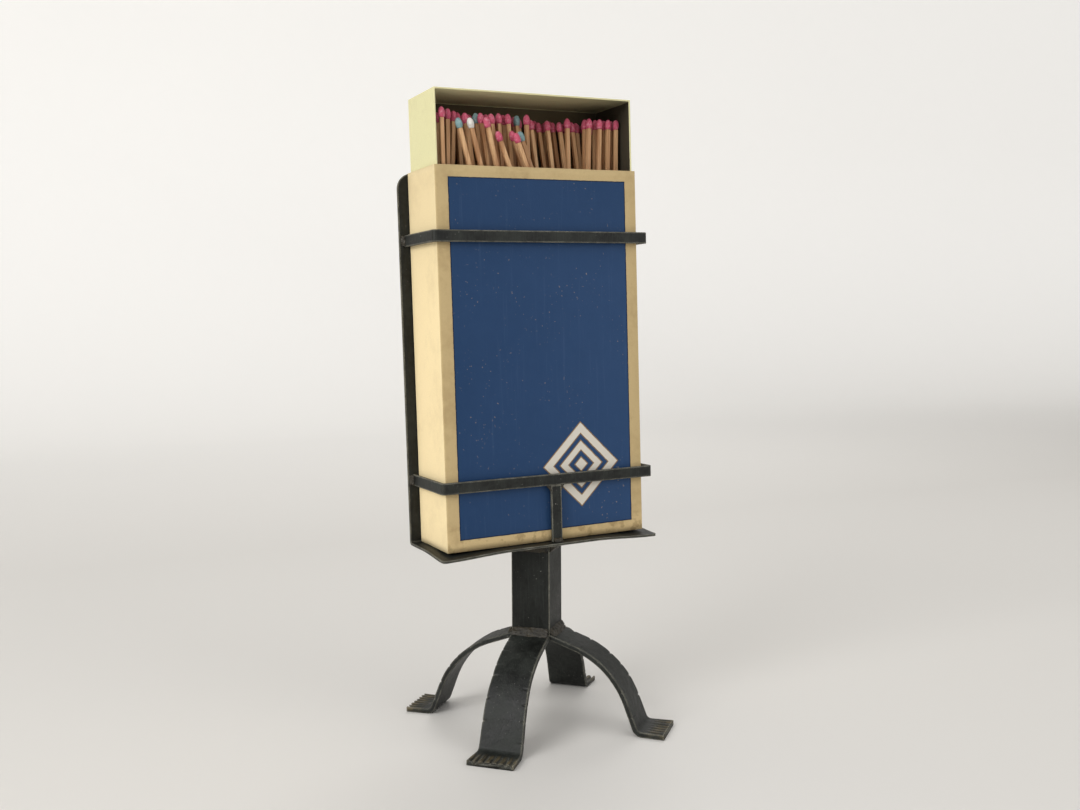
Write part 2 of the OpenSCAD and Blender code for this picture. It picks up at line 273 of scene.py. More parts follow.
def effect(name, inputs, build):
    """A shader node group with named float and vector inputs and one mask, built once."""
    if name in bpy.data.node_groups:
        return bpy.data.node_groups[name]
    tree = bpy.data.node_groups.new(name, "ShaderNodeTree")
    for label, kind, value in inputs:
        socket = tree.interface.new_socket(label, in_out="INPUT", socket_type=kind)
        if kind == "NodeSocketFloat":
            socket.default_value = value
    tree.interface.new_socket("Mask", in_out="OUTPUT", socket_type="NodeSocketFloat")
    graph = Graph(tree)
    source = graph.add("NodeGroupInput")
    sink = graph.add("NodeGroupOutput")
    graph.put(sink.inputs[0], build(graph, source.outputs))
    return tree


def mottle():
    """Soft patches of two sizes."""
    def build(graph, given):
        wide = graph.noise(given["Place"], given["Scale"], 4.0)
        fine = graph.noise(given["Place"], graph.math("MULTIPLY", given["Scale"], 6.0), 3.0)
        both = graph.math("ADD", graph.product(wide, 0.65), graph.product(fine, 0.35))
        return graph.remap(both, given["Low"], given["High"])
    return effect("Mottle", [
        ("Place", "NodeSocketVector", None), ("Scale", "NodeSocketFloat", 60.0),
        ("Low", "NodeSocketFloat", 0.35), ("High", "NodeSocketFloat", 0.65)], build)


def streaks():
    """Thin marks that run along Z."""
    def build(graph, given):
        combined = graph.add("ShaderNodeCombineXYZ", {
            0: given["Across"], 1: given["Across"], 2: given["Along"]}).outputs[0]
        lines = graph.noise(graph.stretch(given["Place"], combined), 1.0, 2.0, 0.7)
        return graph.remap(lines, given["Low"], given["High"])
    return effect("Streaks", [
        ("Place", "NodeSocketVector", None), ("Across", "NodeSocketFloat", 1400.0),
        ("Along", "NodeSocketFloat", 60.0), ("Low", "NodeSocketFloat", 0.5),
        ("High", "NodeSocketFloat", 0.75)], build)


def edge_wear():
    """Rubbed arrises, broken up by patches; on the steel the same mask also paints a highlight along the
    arrises.
    """
    def build(graph, given):
        rounded = graph.add("ShaderNodeBevel", {"Radius": given["Radius"]}, samples=6).outputs[0]
        flat = graph.add("ShaderNodeNewGeometry").outputs["Normal"]
        facing = graph.add("ShaderNodeVectorMath", {0: rounded, 1: flat}, operation="DOT_PRODUCT")
        edge = graph.remap(facing.outputs["Value"], 0.992, 0.93)
        patches = graph.remap(graph.noise(given["Place"], given["Scale"], 4.0), 0.38, 0.62)
        return graph.product(edge, graph.math("ADD", graph.product(patches, 0.6), 0.4))
    return effect("Edge wear", [
        ("Place", "NodeSocketVector", None), ("Radius", "NodeSocketFloat", 0.0011),
        ("Scale", "NodeSocketFloat", 220.0)], build)


def specks():
    """Small scattered spots."""
    def build(graph, given):
        dots = graph.noise(given["Place"], given["Scale"], 1.0, 0.4)
        where = graph.remap(graph.noise(given["Place"], 45.0, 2.0), 0.45, 0.62)
        return graph.product(graph.remap(dots, given["Level"], 0.86), where)
    return effect("Specks", [
        ("Place", "NodeSocketVector", None), ("Scale", "NodeSocketFloat", 1500.0),
        ("Level", "NodeSocketFloat", 0.72)], build)


def new_material(name):
    material = bpy.data.materials.new(name)
    material.use_nodes = True
    graph = Graph(material.node_tree)
    return material, graph, material.node_tree.nodes["Principled BSDF"]


def blackened_steel(name, lightness, streak_depth, speck_level, shine, tint_mask=None):
    """Steel with a waxed black skin: mottled, streaked, rubbed at its arrises with a painted highlight
    there as well, and specked.
    """
    stand = bpy.context.scene.holder_stand
    material, graph, shader = new_material(name)
    place = graph.place()
    patches = graph.group(mottle(), {"Place": place, "Scale": 70.0, "Low": 0.38, "High": 0.64})
    lines = graph.group(streaks(), {"Place": place, "Across": 1500.0, "Along": 70.0})
    wear = graph.group(edge_wear(), {"Place": place})
    spots = graph.group(specks(), {"Place": place, "Level": speck_level})
    light = [min(c * lightness, 1.0) for c in stand.light]
    colour = graph.mix(patches, stand.dark, light)
    colour = graph.mix(graph.product(lines, streak_depth), colour, [c * 1.7 for c in light])
    if tint_mask is not None:
        colour = graph.mix(tint_mask(graph, place), colour, stand.tint)
    # Pale arrises: partly rubbed bare steel, partly a painted highlight along the edges.
    colour = graph.mix(graph.product(wear, 0.8), colour, stand.bare_and_highlight)
    colour = graph.mix(graph.product(spots, 0.8), colour, srgb(205, 202, 192))
    graph.put(shader.inputs["Base Color"], colour)
    shader.inputs["Specular IOR Level"].default_value = shine
    graph.put(shader.inputs["Roughness"], graph.remap(patches, 0.0, 1.0, 0.42, 0.58))
    pits = graph.noise(place, 900.0, 4.0)
    scale = graph.noise(place, 160.0, 3.0)
    relief = graph.math("ADD", graph.product(pits, 0.35), graph.product(scale, 0.65))
    relief = graph.math("SUBTRACT", relief, graph.product(lines, 0.25))
    graph.put(shader.inputs["Normal"], graph.bump(relief, 0.00028, 0.8))
    return material


def ridge_tint(graph, place):
    """Bronze tint on the ridges between the grooves of a toe."""
    rubbed = graph.add("ShaderNodeAttribute", attribute_name="rubbed").outputs["Fac"]
    return graph.product(rubbed, graph.remap(graph.noise(place, 260.0, 3.0), 0.3, 0.6))


def weld_metal():
    """Rough weld with a bronze and olive heat tint."""
    stand = bpy.context.scene.holder_stand
    material, graph, shader = new_material("weld metal")
    place = graph.place()
    patches = graph.group(mottle(), {"Place": place, "Scale": 190.0})
    colour = graph.mix(graph.product(patches, 0.38), stand.dark, stand.tint)
    graph.put(shader.inputs["Base Color"], colour)
    shader.inputs["Specular IOR Level"].default_value = 0.5
    graph.put(shader.inputs["Roughness"], graph.remap(patches, 0.0, 1.0, 0.6, 0.4))
    graph.put(shader.inputs["Normal"], graph.bump(graph.noise(place, 700.0, 4.0), 0.0004))
    return material


def soiled(graph, place, colour, soil, amount):
    """A card colour with brown marks and fine fibres."""
    marks = graph.group(mottle(), {"Place": place, "Scale": 38.0, "Low": 0.5, "High": 0.72})
    colour = graph.mix(graph.product(marks, amount), colour, soil)
    fibres = graph.remap(graph.noise(place, 1300.0, 3.0), 0.35, 0.65)
    return graph.mix(graph.product(fibres, 0.06), colour, soil)


def printed_card():
    """Card of the sleeve, in the box's own frame: a blue print with a generic motif on the front."""
    box = bpy.context.scene.holder_box
    material, graph, shader = new_material("printed card")
    place = graph.place()
    wobble = graph.product(graph.math("SUBTRACT", graph.noise(place, 420.0, 2.0), 0.5), 0.35 * MM)
    axes = graph.add("ShaderNodeSeparateXYZ", {0: place})
    across = graph.math("ADD", axes.outputs[0], wobble)
    height = graph.math("ADD", axes.outputs[2], wobble)
    front = graph.math("LESS_THAN", axes.outputs[1], -box.depth / 2 + 0.4 * MM)

    def panel(grow):
        return graph.product(
            graph.inside(across, -box.print_side - grow, box.print_side + grow),
            graph.inside(height, box.print_foot - grow, box.print_head + grow))

    rim = graph.math("SUBTRACT", panel(0.0), panel(-0.55 * MM))
    printed = graph.product(front, panel(0.0))
    colour = graph.mix(front, side_card(graph, box, place, height), border_card(graph, box, place, height))
    colour = graph.mix(printed, colour, blue_print(graph, box, place, across, height, rim))
    wear = graph.group(edge_wear(), {"Place": place, "Radius": 0.0008, "Scale": 90.0})
    colour = graph.mix(graph.product(wear, 0.35), colour, box.cream)
    graph.put(shader.inputs["Base Color"], colour)
    shader.inputs["Specular IOR Level"].default_value = 0.18
    graph.put(shader.inputs["Roughness"], graph.remap(printed, 0, 1, 0.8, 0.46))
    card = graph.math("ADD", graph.noise(place, 1100.0, 3.0), graph.product(graph.noise(place, 60.0), 1.5))
    graph.put(shader.inputs["Normal"], graph.bump(card, 0.00012, 0.7))
    return material


def side_card(graph, box, place, height):
    """Cream card, a little darker towards the top."""
    high = graph.remap(height, 0.6 * box.height, box.height)
    cream = graph.mix(high, box.cream, [c * 0.86 for c in box.cream])
    return soiled(graph, place, cream, box.soil, 0.14)


def border_card(graph, box, place, height):
    """Card round the print, paler at its foot, with brown stains there."""
    low = graph.remap(height, 16 * MM, 2 * MM)
    border = graph.mix(low, box.kraft, [min(c * 1.25, 1.0) for c in box.kraft])
    stains = graph.remap(graph.noise(place, 240.0, 5.0), 0.53, 0.62)
    border = graph.mix(graph.product(low, stains, 0.5), border, box.soil)
    return soiled(graph, place, border, box.soil, 0.4)


def blue_print(graph, box, place, across, height, rim):
    """Blue print with a painted sheen, stronger to the right and lower down, dull patches, thin upright
    scratches, a dark rim, the motif and pale chips.
    """
    dull = graph.group(mottle(), {"Place": place, "Scale": 26.0, "Low": 0.3, "High": 0.75})
    # Painted sheen: the print is made lighter towards the right and below its top part, fading out at the
    # top; the dull patches added after it are real dulling of the print.
    sheen_and_dulling = graph.product(graph.remap(across, -box.print_side, box.print_side, 0.2, 1.0),
                         graph.remap(height, box.height, 0.7 * box.height))
    sheen_and_dulling = graph.math("ADD", graph.product(sheen_and_dulling, 0.3), graph.product(dull, 0.16))
    blue = graph.mix(sheen_and_dulling, box.blue, [c * 1.6 + 0.02 for c in box.blue])
    hairs = graph.group(streaks(), {
        "Place": place, "Across": 900.0, "Along": 26.0, "Low": 0.6, "High": 0.8})
    blue = graph.mix(graph.product(hairs, 0.2), blue, [c * 1.6 + 0.05 for c in box.blue])
    blue = graph.mix(graph.product(rim, 0.75), blue, [c * 0.25 for c in box.blue])
    blue = motif(graph, box, across, height, blue)
    scuffs = graph.group(specks(), {"Place": place, "Scale": 700.0, "Level": 0.7})
    return graph.mix(graph.product(scuffs, 0.5), blue, box.kraft)


def motif(graph, box, across, height, ground):
    """Nested diamonds: pale frames with thin outlines, and a small one in the middle."""
    right = graph.math("ABSOLUTE", graph.math("SUBTRACT", across, box.motif_x))
    up = graph.math("ABSOLUTE", graph.math("SUBTRACT", height, box.motif_z))
    reach = graph.math("ADD", right, up)
    outline = 0.7 * MM
    colour = ground
    for outer, inner in ((1.0, 0.76), (0.56, 0.36), (0.16, -0.2)):
        frame_edge = graph.inside(reach, inner * box.motif_half - outline, outer * box.motif_half + outline)
        frame_face = graph.inside(reach, inner * box.motif_half, outer * box.motif_half)
        colour = graph.mix(frame_edge, colour, box.soil)
        colour = graph.mix(frame_face, colour, box.motif)
    return colour


def plain_card():
    """Card of the tray, in the box's own frame: painted shade inside, darkest at the back and right, and a
    painted light on the inner top wall, palest at the left.
    """
    box = bpy.context.scene.holder_box
    material, graph, shader = new_material("tray card")
    place = graph.place()
    axes = graph.add("ShaderNodeSeparateXYZ", {0: place})
    half_x = box.tray_width / 2 - CARD_SKIN
    half_y = box.tray_depth / 2
    top = box.tray_out + box.height
    within = graph.product(
        graph.inside(axes.outputs[0], -half_x, half_x),
        graph.inside(axes.outputs[1], CARD_SKIN - half_y, half_y - CARD_SKIN),
        graph.inside(axes.outputs[2], box.tray_out + CARD_SKIN, top - CARD_SKIN))
    outside = soiled(graph, place, box.tray, box.soil, 0.14)
    # Painted shade: the inside gets the darker card colour with more soil marks, then painted shade that
    # deepens towards the back wall and the right wall.
    inner = soiled(graph, place, box.tray_inside_shade, box.soil, 0.3)
    painted_shade = graph.remap(axes.outputs[1], -half_y, half_y, 0.0, 0.6)
    painted_shade = graph.math("MAXIMUM", painted_shade, graph.remap(axes.outputs[0], 0.2 * half_x, half_x, 0.0, 0.97))
    inner = graph.mix(painted_shade, inner, [c * 0.1 for c in box.tray_inside_shade])
    # Painted light on the inner top wall, palest at the left and fading towards the right.
    inner_top = top - box.card
    ceiling = graph.inside(axes.outputs[2], inner_top - CARD_SKIN, inner_top + CARD_SKIN)
    pale = graph.remap(axes.outputs[0], -half_x, half_x, 1.0, 0.3)
    inner = graph.mix(graph.product(ceiling, pale), inner, box.tray)
    colour = graph.mix(within, outside, inner)
    graph.put(shader.inputs["Base Color"], colour)
    shader.inputs["Roughness"].default_value = 0.78
    card = graph.math("ADD", graph.noise(place, 1100.0, 3.0), graph.product(graph.noise(place, 70.0), 1.2))
    graph.put(shader.inputs["Normal"], graph.bump(card, 0.00012, 0.7))
    return material


def splint_wood():
    """Aspen splints with grain along them, each a little different."""
    matches = bpy.context.scene.holder_matches
    material, graph, shader = new_material("splint wood")
    place = graph.place()
    grain = graph.group(streaks(), {
        "Place": place, "Across": 1900.0, "Along": 55.0, "Low": 0.4, "High": 0.7})
    tone = graph.remap(graph.noise(graph.stretch(place, (1.0, 1.0, 0.05)), 210.0, 1.0), 0.35, 0.65)
    colour = graph.mix(graph.product(tone, 0.75), matches.wood, matches.wood_dark)
    colour = graph.mix(graph.product(grain, 0.55), colour, matches.wood_dark)
    graph.put(shader.inputs["Base Color"], colour)
    shader.inputs["Roughness"].default_value = 0.62
    graph.put(shader.inputs["Normal"], graph.bump(grain, 0.00015, 0.6))
    return material


def head_mixture(name, colour):
    """Dried match mixture: matt, grainy and a little darker in patches."""
    material, graph, shader = new_material(name)
    place = graph.place()
    patches = graph.group(mottle(), {"Place": place, "Scale": 320.0})
    tone = graph.mix(graph.product(patches, 0.5), colour, [c * 0.55 for c in colour])
    dust = graph.remap(graph.noise(place, 900.0, 3.0), 0.5, 0.68)
    tone = graph.mix(graph.product(dust, 0.4), tone, [c * 0.5 + 0.36 for c in colour])
    graph.put(shader.inputs["Base Color"], tone)
    graph.put(shader.inputs["Roughness"], graph.remap(patches, 0.0, 1.0, 0.5, 0.68))
    graph.put(shader.inputs["Normal"], graph.bump(graph.noise(place, 2600.0, 3.0), 0.00022))
    return material


def stage_material(colour):
    material, graph, shader = new_material("pale floor")
    place = graph.place()
    tone = graph.noise(place, 3.0, 2.0)
    graph.put(shader.inputs["Base Color"], graph.mix(graph.product(tone, 0.06), colour, (0.5, 0.49, 0.47)))
    shader.inputs["Roughness"].default_value = 0.6
    # The backdrop glows a little for the camera alone, so that it shows nearly white
    behind = graph.add("ShaderNodeSeparateXYZ", {0: place}).outputs[1]
    seen = graph.add("ShaderNodeLightPath").outputs["Is Camera Ray"]
    shader.inputs["Emission Color"].default_value = (1.0, 1.0, 0.99, 1.0)
    graph.put(shader.inputs["Emission Strength"], graph.product(graph.remap(behind, 0.5, 2.2), seen, 0.38))
    return material


def finish_node(name, material, smooth_faces=False):
    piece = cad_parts[name]
    piece.data.materials.clear()
    piece.data.materials.append(material)
    if smooth_faces:
        for face in piece.data.polygons:
            face.use_smooth = True
    return piece


def weld_points(piece):
    joined = piece.modifiers.new("join", "WELD")
    joined.merge_threshold = 0.01 * MM


def bevel_edges(piece, width, segments, sharper_than=30.0):
    bevel = piece.modifiers.new("arris", "BEVEL")
    bevel.width = width
    bevel.segments = segments
    bevel.limit_method = "ANGLE"
    bevel.angle_limit = math.radians(sharper_than)


def round_arrises(piece, width, segments=3):
    weld_points(piece)
    bevel_edges(piece, width, segments)


def roughen(piece, levels, depth, grain, keep_profile=False):
    """Makes the skin of a small solid uneven; its shape is rounded, or kept and only eased."""
    weld_points(piece)
    rounded = piece.modifiers.new("round", "SUBSURF")
    rounded.levels = levels
    rounded.render_levels = levels
    if keep_profile:
        rounded.subdivision_type = "SIMPLE"
        eased = piece.modifiers.new("ease", "SMOOTH")
        eased.factor = 0.5
        eased.iterations = 6
    for size, share in ((grain, 1.0), (0.4 * grain, 0.5)):
        texture = bpy.data.textures.new("lumps", "CLOUDS")
        texture.noise_scale = size
        lumps = piece.modifiers.new("lumps", "DISPLACE")
        lumps.texture = texture
        lumps.texture_coords = "GLOBAL"
        lumps.strength = depth * share
        lumps.mid_level = 0.5


def mesh_piece(name, points, faces, material, smooth_faces=True):
    mesh = bpy.data.meshes.new(name)
    mesh.from_pydata(points, [], faces)
    mesh.validate()
    mesh.update()
    for face in mesh.polygons:
        face.use_smooth = smooth_faces
    mesh.materials.append(material)
    piece = bpy.data.objects.new(name, mesh)
    bpy.context.scene.collection.objects.link(piece)
    return piece


def tube_faces(rings, count):
    """Quads between closed rings of points, and a cap at each end."""
    faces = []
    for i in range(rings - 1):
        for j in range(count):
            k = (j + 1) % count
            faces.append((i * count + j, i * count + k, (i + 1) * count + k, (i + 1) * count + j))
    faces.append(tuple(reversed(range(count))))
    faces.append(tuple(range((rings - 1) * count, rings * count)))
    return faces


def grid_faces(rows, columns):
    return [
        (i * columns + j, i * columns + j + 1, (i + 1) * columns + j + 1, (i + 1) * columns + j)
        for i in range(rows - 1) for j in range(columns - 1)
    ]


def leg_stations(stand, step):
    """Points (reach, height, heading) along a leg's top face, from inside the post to the toe."""
    lead = 0.4 * MM
    heading = -stand.leg_slope
    reach = stand.post_side / 2 - lead * math.cos(heading)
    height = stand.leg_top - lead * math.sin(heading)
    turned = stand.leg_drop - stand.leg_slope
    steep_top = (stand.leg_top - stand.leg_run * math.sin(stand.leg_slope)
                 - stand.leg_bend * (math.cos(stand.leg_slope) - math.cos(stand.leg_drop)))
    steep = (steep_top - stand.leg_thickness
             - stand.foot_bend * (1 - math.cos(stand.leg_drop))) / math.sin(stand.leg_drop)
    walk = [
        (lead + stand.leg_run, 0.0), (stand.leg_bend * turned, -turned), (steep, 0.0),
        (stand.foot_bend * stand.leg_drop, stand.leg_drop), (stand.foot_length, 0.0)]
    stations = [(reach, height, heading)]
    for length, turn in walk:
        parts = max(6, round(length / step))
        for _ in range(parts):
            heading += turn / parts / 2
            reach += length / parts * math.cos(heading)
            height += length / parts * math.sin(heading)
            heading += turn / parts / 2
            stations.append((reach, height, heading))
    return stations


def strip_section(width, thickness, arris, across=84):
    """Closed outline of a flat bar: (across, depth below its top face)."""
    half = width / 2
    side = half - arris
    foot = thickness - arris

    def corner(x, depth, degrees):
        turns = [math.radians(d) for d in degrees]
        return [(x + arris * math.cos(a), depth + arris * math.sin(a)) for a in turns]

    lower = across // 6
    points = [(2 * side * i / across - side, 0.0) for i in range(across + 1)]
    points += corner(side, arris, (-60, -30, 0)) + corner(side, foot, (0, 30, 60, 90))
    points += [(side - 2 * side * i / lower, thickness) for i in range(1, lower + 1)]
    return points + corner(-side, foot, (120, 150, 180)) + corner(-side, arris, (180, 210, 240))


def leg_mesh(name, stand, material, seed):
    """A leg with chisel dents along both edges and a grooved, ragged toe."""
    draw = random.Random(seed)
    stations = leg_stations(stand, 0.36 * MM)
    toe = stations[-1][0]
    lengths = [0.0]
    for a, b in zip(stations, stations[1:]):
        lengths.append(lengths[-1] + math.hypot(b[0] - a[0], b[1] - a[1]))
    dents = []
    for side in (-1, 1):
        at = draw.uniform(7, 11) * MM
        while at < lengths[-1] - 16 * MM:
            dents.append((at, side, draw.uniform(2.5, 6.0) * MM, draw.uniform(0.6, 1.0)))
            at += draw.uniform(6.0, 13.0) * MM
    grooves = [(-0.42 + 0.14 * i + draw.uniform(-0.015, 0.015)) for i in range(7)]
    turn = Matrix.Rotation(math.radians(LEG_TURNS[name]), 3, "Z")
    flare_from = stand.post_side / 2 + (toe - stand.post_side / 2) / 2
    count = 0
    points = []
    rubbed = []
    for (reach, height, heading), along in zip(stations, lengths):
        flare = max(0.0, (reach - flare_from) / (toe - flare_from))
        width = stand.leg_width + (stand.toe_width - stand.leg_width) * flare
        section = strip_section(width, stand.leg_thickness, stand.arris)
        count = len(section)
        end = smooth(along, lengths[-1] - 10.5 * MM, lengths[-1] - 3 * MM)
        for across, depth in section:
            upper = 1.0 - smooth(depth, 0.3 * stand.leg_thickness, 0.9 * stand.leg_thickness)
            sink = 0.0
            for at, side, long, deep in dents:
                if abs(along - at) < CUT_REACH and across * side > 0:
                    notch = math.exp(-((along - at) / CUT_WIDTH) ** 2)
                    sink += notch * deep * smooth(abs(across), width / 2 - long, width / 2)
            press = stand.dent_depth * sink * upper
            groove = max(math.exp(-((across / width - g) / GROOVE_WIDTH) ** 2) for g in grooves)
            press += stand.groove_depth * groove * end * upper
            rough = noise.noise(Vector((across * 260, along * 260, seed * 3.1)))
            press += 0.10 * MM * rough * upper
            edge = across - math.copysign(0.15 * MM * sink, across)
            ragged = 0.0
            if end > 0:
                ragged = end * (0.9 * MM * groove + 0.35 * MM * abs(rough))
            down = depth + press
            x = reach + down * math.sin(heading) - ragged
            z = max(height - down * math.cos(heading), 0.0)
            points.append(turn @ Vector((x, edge, z)))
            rubbed.append(end * upper * max(0.0, 1.0 - 2.2 * groove))
    leg = mesh_piece(name + "_bar", points, tube_faces(len(stations), count), material)
    leg.data.attributes.new("rubbed", "FLOAT", "POINT").data.foreach_set("value", rubbed)
    return leg


def frame_matrix(cradle, lift=0.0):
    """The leaning cradle's frame, or the box's frame when lifted by the seat gap."""
    return (Matrix.Translation(Vector(cradle.middle)) @ Matrix.Rotation(-cradle.lean, 4, "Y")
            @ Matrix.Translation((0, 0, lift)))


class HOLDER_OT_legs(bpy.types.Operator):
    """Make the four legs with their chisel dents and hammered toes"""
    bl_idname = "holder.legs"
    bl_label = "Legs"

    def execute(self, context):
        stand = context.scene.holder_stand
        material = blackened_steel("leg steel", 0.9, 0.3, 0.735, 0.3, ridge_tint)
        for seed, name in enumerate(LEG_TURNS, start=1):
            leg = leg_mesh(name, stand, material, seed)
            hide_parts(name)
            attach(leg, "holder")
        return {"FINISHED"}


class HOLDER_OT_bars(bpy.types.Operator):
    """Finish the post, the two bands and the stay"""
    bl_idname = "holder.bars"
    bl_label = "Post, bands and stay"

    def execute(self, context):
        stand = context.scene.holder_stand
        post_steel = blackened_steel("post steel", 0.62, 0.6, 0.74, 0.2)
        band_steel = blackened_steel("band steel", 1.0, 0.2, 0.76, 0.3)
        for name in STEEL_NODES:
            bar = finish_node(name, post_steel if name == "post" else band_steel)
            round_arrises(bar, stand.arris)
        return {"FINISHED"}


class HOLDER_OT_welds(bpy.types.Operator):
    """Turn the plain beads into uneven weld metal"""
    bl_idname = "holder.welds"
    bl_label = "Welds"

    def execute(self, context):
        metal = weld_metal()
        for name in WELD_NODES:
            beads = finish_node(name, metal, True)
            roughen(beads, 4, 1.3 * MM, 1.5 * MM, True)
        return {"FINISHED"}


class HOLDER_OT_sheet(bpy.types.Operator):
    """Make the bent sheet: a shelf whose front corners hang a little, and the back plate"""
    bl_idname = "holder.sheet"
    bl_label = "Shelf and back plate"

    def execute(self, context):
        cradle = context.scene.holder_cradle
        path = self.profile(cradle)
        columns = 49
        middle = (cradle.sheet_left + cradle.sheet_right) / 2
        half = (cradle.sheet_right - cradle.sheet_left) / 2
        points = []
        for y, z in path:
            inset = self.corner_inset(cradle.plate_corner, cradle.plate_height - z)
            if z <= 0.0:
                inset = self.corner_inset(2 * MM, y - cradle.shelf_edge)
            for j in range(columns):
                x = middle + (2 * j / (columns - 1) - 1) * (half - inset)
                hang = smooth(abs(x - middle), 22 * MM, half) * smooth(-y, -2 * MM, -cradle.shelf_edge)
                wave = 0.12 * MM * noise.noise(Vector((x * 28, y * 28, z * 22)))
                if z > 4 * MM:
                    points.append((x, y - abs(wave), z))
                else:
                    points.append((x, y, z - cradle.droop * hang - abs(wave)))
        steel = blackened_steel("sheet steel", 0.8, 0.2, 0.75, 0.3)
        sheet = mesh_piece("shelf_and_plate", points, grid_faces(len(path), columns), steel)
        thick = sheet.modifiers.new("thickness", "SOLIDIFY")
        thick.thickness = cradle.sheet_thickness
        thick.offset = -1.0
        bevel_edges(sheet, 0.25 * MM, 2, 50.0)
        sheet.matrix_world = frame_matrix(cradle)
        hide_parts("cradle_sheet")
        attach(sheet, "holder")
        return {"FINISHED"}

    def profile(self, cradle):
        """The sheet's upper and front face, from the shelf's edge up to the top: (y, z)."""
        bend = cradle.sheet_bend
        run = cradle.plate_face - bend - cradle.shelf_edge
        path = [(cradle.shelf_edge + run * (i / 24) ** 1.4, 0.0) for i in range(25)]
        for i in range(1, 7):
            a = math.radians(15 * i)
            path.append((cradle.plate_face - bend + bend * math.sin(a), bend - bend * math.cos(a)))
        straight = cradle.plate_height - cradle.plate_corner - bend
        path += [(cradle.plate_face, bend + straight * i / 36) for i in range(1, 37)]
        for i in range(1, 13):
            a = math.radians(7.5 * i)
            path.append((cradle.plate_face, cradle.plate_height - cradle.plate_corner * (1 - math.sin(a))))
        return path

    def corner_inset(self, radius, distance):
        """How far a rounded corner pulls the side in, at a distance from the end."""
        left = max(0.0, radius - max(distance, 0.0))
        return radius - math.sqrt(max(radius * radius - left * left, 0.0))


class HOLDER_OT_sleeve(bpy.types.Operator):
    """Make the printed card sleeve of the box"""
    bl_idname = "holder.sleeve"
    bl_label = "Sleeve"

    def execute(self, context):
        box = context.scene.holder_box
        outline = self.outline(box)
        rows = 60
        points = []
        for i in range(rows):
            z = box.height * i / (rows - 1)
            for x, y, free in outline:
                dent = abs(noise.noise(Vector((x * 34, y * 34, z * 26)))) * 0.35 * MM * free
                fray = 0.0
                if i in (0, rows - 1):
                    fray = 0.18 * MM * abs(noise.noise(Vector((x * 500, y * 500, z * 9))))
                height = z + fray if i == 0 else z - fray
                points.append((x * (1 - dent / (box.width / 2)), y * (1 - dent / (box.depth / 2)), height))
        faces = tube_faces(rows, len(outline))[:-2]
        sleeve = mesh_piece("card_sleeve", points, faces, printed_card())
        card = sleeve.modifiers.new("card", "SOLIDIFY")
        card.thickness = box.card
        card.offset = -1.0
        sleeve.matrix_world = frame_matrix(context.scene.holder_cradle, box.seat_gap)
        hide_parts("sleeve")
        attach(sleeve, "matchbox")
        return {"FINISHED"}

    def outline(self, box):
        """Ring of (x, y, how free the card is to give), with rounded folds."""
        half_x = box.width / 2 - box.fold_radius
        half_y = box.depth / 2 - box.fold_radius
        corners = [
            (half_x, -half_y, -90), (half_x, half_y, 0), (-half_x, half_y, 90), (-half_x, -half_y, 180)]
        ring = []
        for index, (cx, cy, start) in enumerate(corners):
            for i in range(5):
                a = math.radians(start + 22.5 * i)
                ring.append((cx + box.fold_radius * math.cos(a), cy + box.fold_radius * math.sin(a), 0.0))
            here = Vector(ring[-1][:2])
            nx, ny, next_start = corners[(index + 1) % 4]
            a = math.radians(next_start)
            there = Vector((nx + box.fold_radius * math.cos(a), ny + box.fold_radius * math.sin(a)))
            parts = 24 if index in (1, 3) else 10
            for i in range(1, parts):
                point = here.lerp(there, i / parts)
                ring.append((point.x, point.y, math.sin(math.pi * i / parts)))
        return ring


class HOLDER_OT_tray(bpy.types.Operator):
    """Make the card tray: a shallow pan that stands on end, open to the front"""
    bl_idname = "holder.tray"
    bl_label = "Tray"

    def execute(self, context):
        box = context.scene.holder_box
        half_x, half_y, card = box.tray_width / 2, box.tray_depth / 2, box.card
        low, high = box.tray_out, box.tray_out + box.height
        outer = [
            (x, y, z) for z in (low, high) for y in (-half_y, half_y) for x in (-half_x, half_x)]
        inner = [(x, y, z) for z in (low + card, high - card) for y in (-half_y, half_y - card)
                 for x in (card - half_x, half_x - card)]
        sides = [(0, 2, 3, 1), (4, 5, 7, 6), (0, 4, 6, 2), (1, 3, 7, 5), (2, 6, 7, 3)]
        faces = sides + [tuple(8 + i for i in reversed(side)) for side in sides]
        faces += [(0, 1, 9, 8), (1, 5, 13, 9), (5, 4, 12, 13), (4, 0, 8, 12)]
        tray = mesh_piece("card_tray", outer + inner, faces, plain_card(), False)
        bevel_edges(tray, 0.25 * MM, 3)
        tray.matrix_world = frame_matrix(context.scene.holder_cradle, box.seat_gap)
        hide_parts("tray")
        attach(tray, "tray")
        return {"FINISHED"}


class HOLDER_OT_matches(bpy.types.Operator):
    """Finish the splints and the heads of the matches"""
    bl_idname = "holder.matches"
    bl_label = "Matches"

    def execute(self, context):
        matches = context.scene.holder_matches
        wood = splint_wood()
        for name in STICK_NODES:
            round_arrises(finish_node(name, wood), 0.12 * MM, 1)
        pink = head_mixture("pink mixture", matches.pink)
        teal = head_mixture("teal mixture", matches.teal)
        white = head_mixture("white mixture", matches.white)
        finishes = {name: pink for name in PINK_NODES}
        finishes.update({"teal_heads": teal, "white_head": white})
        for name, mixture in finishes.items():
            roughen(finish_node(name, mixture, True), 1, 0.3 * MM, 1.1 * MM)
        return {"FINISHED"}


